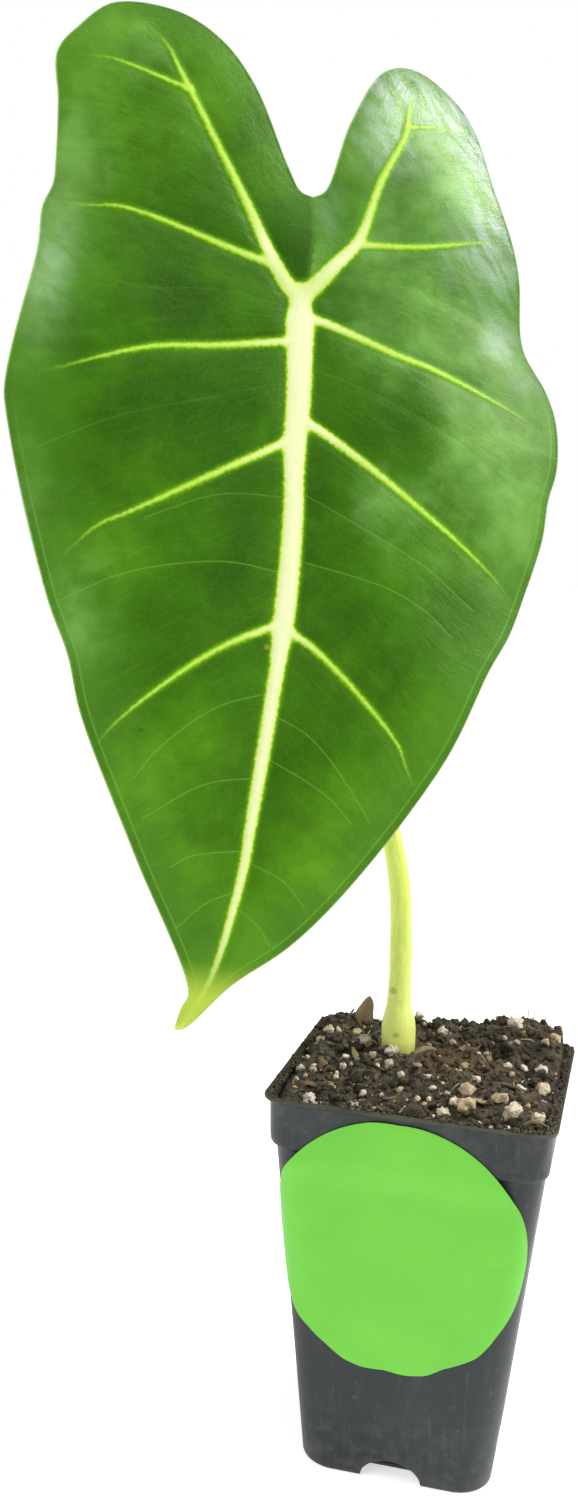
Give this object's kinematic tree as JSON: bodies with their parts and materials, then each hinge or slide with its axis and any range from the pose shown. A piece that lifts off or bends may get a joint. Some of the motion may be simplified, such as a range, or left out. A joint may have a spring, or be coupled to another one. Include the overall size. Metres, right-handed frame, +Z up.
{
  "type": "potted green velvet alocasia",
  "caption": "Young arrow-leaved aroid: one large waved leaf with bold pale veins on a slender stalk, in a deep tapered square nursery pot of soil with a round label.",
  "frame": {"origin": "middle of the pot's flat foot, on the surface that it stands on", "axes": "+Z up, -Y out of the pot's front wall that carries the label, +X to the right as seen from the front"},
  "size_m": [0.1114, 0.0777, 0.2962],
  "materials": {
    "pot_plastic": "charcoal grey moulded plastic, satin, faintly scuffed",
    "label_paper": "bright green printed label, satin, plain",
    "potting_mix": "dark crumbly peat and bark with pale perlite grains",
    "corm_flesh": "brown fibrous corm with cream roots",
    "stalk_flesh": "smooth pale yellow-green with small brown flecks",
    "leaf_flesh": "deep green with a soft sheen, veins pale yellow-white with a yellow-green border"
  },
  "bodies": {
    "root": {"pot": "pot_plastic", "label": "label_paper", "soil": "potting_mix", "corm_and_roots": "corm_flesh", "petiole": "stalk_flesh", "leaf_blade": "leaf_flesh"}
  },
  "joints": []
}
